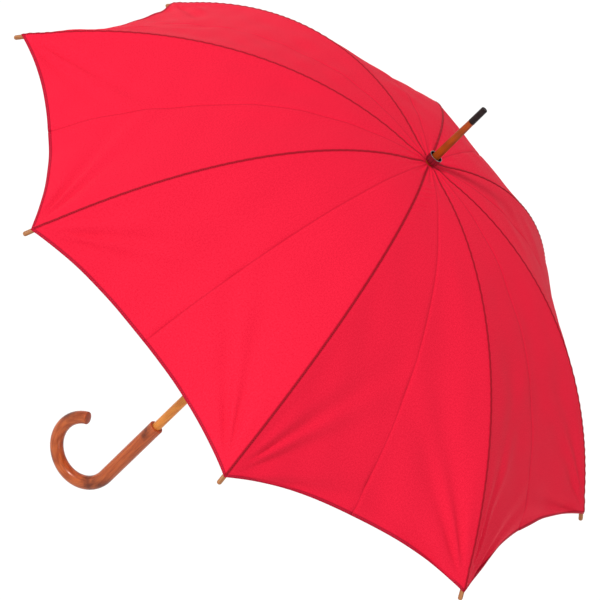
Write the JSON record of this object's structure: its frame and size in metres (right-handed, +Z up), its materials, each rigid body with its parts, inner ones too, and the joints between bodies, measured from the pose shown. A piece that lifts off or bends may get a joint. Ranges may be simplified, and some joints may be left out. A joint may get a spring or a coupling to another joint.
{
  "type": "stick umbrella",
  "caption": "Open stick umbrella: domed cloth canopy on folding ribs and stretchers, sliding runner, straight wooden stick with a crook handle and a spike.",
  "frame": {"origin": "middle of the handle's straight grip, on the stick's axis", "axes": "+Z up along the stick towards the spike; +X towards the crook's bend"},
  "size_m": [0.9422, 0.9422, 0.8748],
  "materials": {
    "light_wood": "varnished",
    "handle_wood": "varnished, scorched in places",
    "spike_wood": "varnished",
    "tip_wood": "satin",
    "red_cloth": "fine plain weave",
    "washer_cloth": "fine plain weave",
    "strap_cloth": "fine plain weave",
    "chrome": "polished",
    "dark_metal": "glossy",
    "plated_steel": "satin",
    "black_steel": "satin",
    "spring_steel": "bright"
  },
  "bodies": {
    "stick": {"shaft": "light_wood", "handle": "handle_wood", "spike": "spike_wood", "ferrule_cap": "dark_metal", "top_notch": "plated_steel", "notch_wire": "spring_steel", "notch_pin": "spring_steel", "stop_pin": "spring_steel", "rosette": "washer_cloth", "crown_cap": "chrome"},
    "rib_1": {"rib_inner_1": "black_steel", "canopy_gore_1": "red_cloth"},
    "rib_end_1": {"rib_outer_1": "black_steel", "rib_tip_1": "tip_wood"},
    "stretcher_1": {"stretcher_1": "black_steel"},
    "rib_2": {"rib_inner_2": "black_steel", "canopy_gore_2": "red_cloth"},
    "rib_end_2": {"rib_outer_2": "black_steel", "rib_tip_2": "tip_wood"},
    "stretcher_2": {"stretcher_2": "black_steel"},
    "rib_3": {"rib_inner_3": "black_steel", "canopy_gore_3": "red_cloth"},
    "rib_end_3": {"rib_outer_3": "black_steel", "rib_tip_3": "tip_wood"},
    "stretcher_3": {"stretcher_3": "black_steel"},
    "rib_4": {"rib_inner_4": "black_steel", "canopy_gore_4": "red_cloth"},
    "rib_end_4": {"rib_outer_4": "black_steel", "rib_tip_4": "tip_wood"},
    "stretcher_4": {"stretcher_4": "black_steel"},
    "rib_5": {"rib_inner_5": "black_steel", "canopy_gore_5": "red_cloth"},
    "rib_end_5": {"rib_outer_5": "black_steel", "rib_tip_5": "tip_wood"},
    "stretcher_5": {"stretcher_5": "black_steel"},
    "rib_6": {"rib_inner_6": "black_steel", "canopy_gore_6": "red_cloth"},
    "rib_end_6": {"rib_outer_6": "black_steel", "rib_tip_6": "tip_wood"},
    "stretcher_6": {"stretcher_6": "black_steel"},
    "rib_7": {"rib_inner_7": "black_steel", "canopy_gore_7": "red_cloth"},
    "rib_end_7": {"rib_outer_7": "black_steel", "rib_tip_7": "tip_wood", "tie_strap": "strap_cloth", "strap_button": "chrome"},
    "stretcher_7": {"stretcher_7": "black_steel"},
    "rib_8": {"rib_inner_8": "black_steel", "canopy_gore_8": "red_cloth"},
    "rib_end_8": {"rib_outer_8": "black_steel", "rib_tip_8": "tip_wood"},
    "stretcher_8": {"stretcher_8": "black_steel"},
    "runner": {"runner": "plated_steel", "runner_wire": "spring_steel"},
    "top_catch": {"top_spring": "spring_steel"},
    "bottom_catch": {"bottom_spring": "spring_steel"}
  },
  "joints": [
    {"name": "canopy_fold", "type": "hinge", "parent": "stick", "child": "rib_1", "pos_m": [0.0097, 0.00402, 0.64302], "axis": [-0.3827, 0.9239, 0], "range_deg": [0, 77.17], "deforming": ["canopy_gore_1", "canopy_gore_2", "canopy_gore_3", "canopy_gore_4", "canopy_gore_5", "canopy_gore_6", "canopy_gore_7", "canopy_gore_8", "top_spring", "bottom_spring"]},
    {"name": "rib_2_hinge", "type": "hinge", "parent": "stick", "child": "rib_2", "pos_m": [0.00402, 0.0097, 0.64302], "axis": [-0.9239, 0.3827, 0], "range_deg": [-0.1, 77.27]},
    {"name": "rib_3_hinge", "type": "hinge", "parent": "stick", "child": "rib_3", "pos_m": [-0.00402, 0.0097, 0.64302], "axis": [-0.9239, -0.3827, 0], "range_deg": [-0.1, 77.27]},
    {"name": "rib_4_hinge", "type": "hinge", "parent": "stick", "child": "rib_4", "pos_m": [-0.0097, 0.00402, 0.64302], "axis": [-0.3827, -0.9239, 0], "range_deg": [-0.1, 77.27]},
    {"name": "rib_5_hinge", "type": "hinge", "parent": "stick", "child": "rib_5", "pos_m": [-0.0097, -0.00402, 0.64302], "axis": [0.3827, -0.9239, 0], "range_deg": [-0.1, 77.27]},
    {"name": "rib_6_hinge", "type": "hinge", "parent": "stick", "child": "rib_6", "pos_m": [-0.00402, -0.0097, 0.64302], "axis": [0.9239, -0.3827, 0], "range_deg": [-0.1, 77.27]},
    {"name": "rib_7_hinge", "type": "hinge", "parent": "stick", "child": "rib_7", "pos_m": [0.00402, -0.0097, 0.64302], "axis": [0.9239, 0.3827, 0], "range_deg": [-0.1, 77.27]},
    {"name": "rib_8_hinge", "type": "hinge", "parent": "stick", "child": "rib_8", "pos_m": [0.0097, -0.00402, 0.64302], "axis": [0.3827, 0.9239, 0], "range_deg": [-0.1, 77.27]},
    {"name": "rib_1_straighten", "type": "hinge", "parent": "rib_1", "child": "rib_end_1", "pos_m": [0.25279, 0.10471, 0.59027], "axis": [-0.3827, 0.9239, 0], "range_deg": [-31.13, 0.1]},
    {"name": "rib_2_straighten", "type": "hinge", "parent": "rib_2", "child": "rib_end_2", "pos_m": [0.10471, 0.25279, 0.59027], "axis": [-0.9239, 0.3827, 0], "range_deg": [-31.13, 0.1]},
    {"name": "rib_3_straighten", "type": "hinge", "parent": "rib_3", "child": "rib_end_3", "pos_m": [-0.10471, 0.25279, 0.59027], "axis": [-0.9239, -0.3827, 0], "range_deg": [-31.13, 0.1]},
    {"name": "rib_4_straighten", "type": "hinge", "parent": "rib_4", "child": "rib_end_4", "pos_m": [-0.25279, 0.10471, 0.59027], "axis": [-0.3827, -0.9239, 0], "range_deg": [-31.13, 0.1]},
    {"name": "rib_5_straighten", "type": "hinge", "parent": "rib_5", "child": "rib_end_5", "pos_m": [-0.25279, -0.10471, 0.59027], "axis": [0.3827, -0.9239, 0], "range_deg": [-31.13, 0.1]},
    {"name": "rib_6_straighten", "type": "hinge", "parent": "rib_6", "child": "rib_end_6", "pos_m": [-0.10471, -0.25279, 0.59027], "axis": [0.9239, -0.3827, 0], "range_deg": [-31.13, 0.1]},
    {"name": "rib_7_straighten", "type": "hinge", "parent": "rib_7", "child": "rib_end_7", "pos_m": [0.10471, -0.25279, 0.59027], "axis": [0.9239, 0.3827, 0], "range_deg": [-31.13, 0.1]},
    {"name": "rib_8_straighten", "type": "hinge", "parent": "rib_8", "child": "rib_end_8", "pos_m": [0.25279, -0.10471, 0.59027], "axis": [0.3827, 0.9239, 0], "range_deg": [-31.13, 0.1]},
    {"name": "stretcher_1_elbow", "type": "hinge", "parent": "rib_1", "child": "stretcher_1", "pos_m": [0.25279, 0.10471, 0.59027], "axis": [-0.3827, 0.9239, 0], "range_deg": [-154.43, 0.1]},
    {"name": "stretcher_2_elbow", "type": "hinge", "parent": "rib_2", "child": "stretcher_2", "pos_m": [0.10471, 0.25279, 0.59027], "axis": [-0.9239, 0.3827, 0], "range_deg": [-154.43, 0.1]},
    {"name": "stretcher_3_elbow", "type": "hinge", "parent": "rib_3", "child": "stretcher_3", "pos_m": [-0.10471, 0.25279, 0.59027], "axis": [-0.9239, -0.3827, 0], "range_deg": [-154.43, 0.1]},
    {"name": "stretcher_4_elbow", "type": "hinge", "parent": "rib_4", "child": "stretcher_4", "pos_m": [-0.25279, 0.10471, 0.59027], "axis": [-0.3827, -0.9239, 0], "range_deg": [-154.43, 0.1]},
    {"name": "stretcher_5_elbow", "type": "hinge", "parent": "rib_5", "child": "stretcher_5", "pos_m": [-0.25279, -0.10471, 0.59027], "axis": [0.3827, -0.9239, 0], "range_deg": [-154.43, 0.1]},
    {"name": "stretcher_6_elbow", "type": "hinge", "parent": "rib_6", "child": "stretcher_6", "pos_m": [-0.10471, -0.25279, 0.59027], "axis": [0.9239, -0.3827, 0], "range_deg": [-154.43, 0.1]},
    {"name": "stretcher_7_elbow", "type": "hinge", "parent": "rib_7", "child": "stretcher_7", "pos_m": [0.10471, -0.25279, 0.59027], "axis": [0.9239, 0.3827, 0], "range_deg": [-154.43, 0.1]},
    {"name": "stretcher_8_elbow", "type": "hinge", "parent": "rib_8", "child": "stretcher_8", "pos_m": [0.25279, -0.10471, 0.59027], "axis": [0.3827, 0.9239, 0], "range_deg": [-154.43, 0.1]},
    {"name": "runner_level", "type": "hinge", "parent": "stretcher_1", "child": "runner", "pos_m": [0.0097, 0.00402, 0.53753], "axis": [-0.3827, 0.9239, 0], "range_deg": [-0.1, 77.27]},
    {"name": "top_catch_press", "type": "hinge", "parent": "stick", "child": "top_catch", "pos_m": [0, -0.0014, 0.47773], "axis": [-1, 0, 0], "range_deg": [0, 12], "stiffness_Nm_per_rad": 0.08, "springref_deg": -5.73},
    {"name": "bottom_catch_press", "type": "hinge", "parent": "stick", "child": "bottom_catch", "pos_m": [0, -0.0014, 0.099], "axis": [1, 0, 0], "range_deg": [0, 12], "stiffness_Nm_per_rad": 0.08, "springref_deg": -5.73}
  ],
  "couplings": [
    {"joint": "rib_2_hinge", "follows": "canopy_fold", "ratio": 1},
    {"joint": "rib_3_hinge", "follows": "canopy_fold", "ratio": 1},
    {"joint": "rib_4_hinge", "follows": "canopy_fold", "ratio": 1},
    {"joint": "rib_5_hinge", "follows": "canopy_fold", "ratio": 1},
    {"joint": "rib_6_hinge", "follows": "canopy_fold", "ratio": 1},
    {"joint": "rib_7_hinge", "follows": "canopy_fold", "ratio": 1},
    {"joint": "rib_8_hinge", "follows": "canopy_fold", "ratio": 1},
    {"joint": "rib_1_straighten", "follows": "canopy_fold", "ratio": -0.40211},
    {"joint": "rib_2_straighten", "follows": "canopy_fold", "ratio": -0.40211},
    {"joint": "rib_3_straighten", "follows": "canopy_fold", "ratio": -0.40211},
    {"joint": "rib_4_straighten", "follows": "canopy_fold", "ratio": -0.40211},
    {"joint": "rib_5_straighten", "follows": "canopy_fold", "ratio": -0.40211},
    {"joint": "rib_6_straighten", "follows": "canopy_fold", "ratio": -0.40211},
    {"joint": "rib_7_straighten", "follows": "canopy_fold", "ratio": -0.40211},
    {"joint": "rib_8_straighten", "follows": "canopy_fold", "ratio": -0.40211},
    {"joint": "stretcher_1_elbow", "follows": "canopy_fold", "ratio": -2},
    {"joint": "stretcher_2_elbow", "follows": "canopy_fold", "ratio": -2},
    {"joint": "stretcher_3_elbow", "follows": "canopy_fold", "ratio": -2},
    {"joint": "stretcher_4_elbow", "follows": "canopy_fold", "ratio": -2},
    {"joint": "stretcher_5_elbow", "follows": "canopy_fold", "ratio": -2},
    {"joint": "stretcher_6_elbow", "follows": "canopy_fold", "ratio": -2},
    {"joint": "stretcher_7_elbow", "follows": "canopy_fold", "ratio": -2},
    {"joint": "stretcher_8_elbow", "follows": "canopy_fold", "ratio": -2},
    {"joint": "runner_level", "follows": "canopy_fold", "ratio": 1}
  ]
}
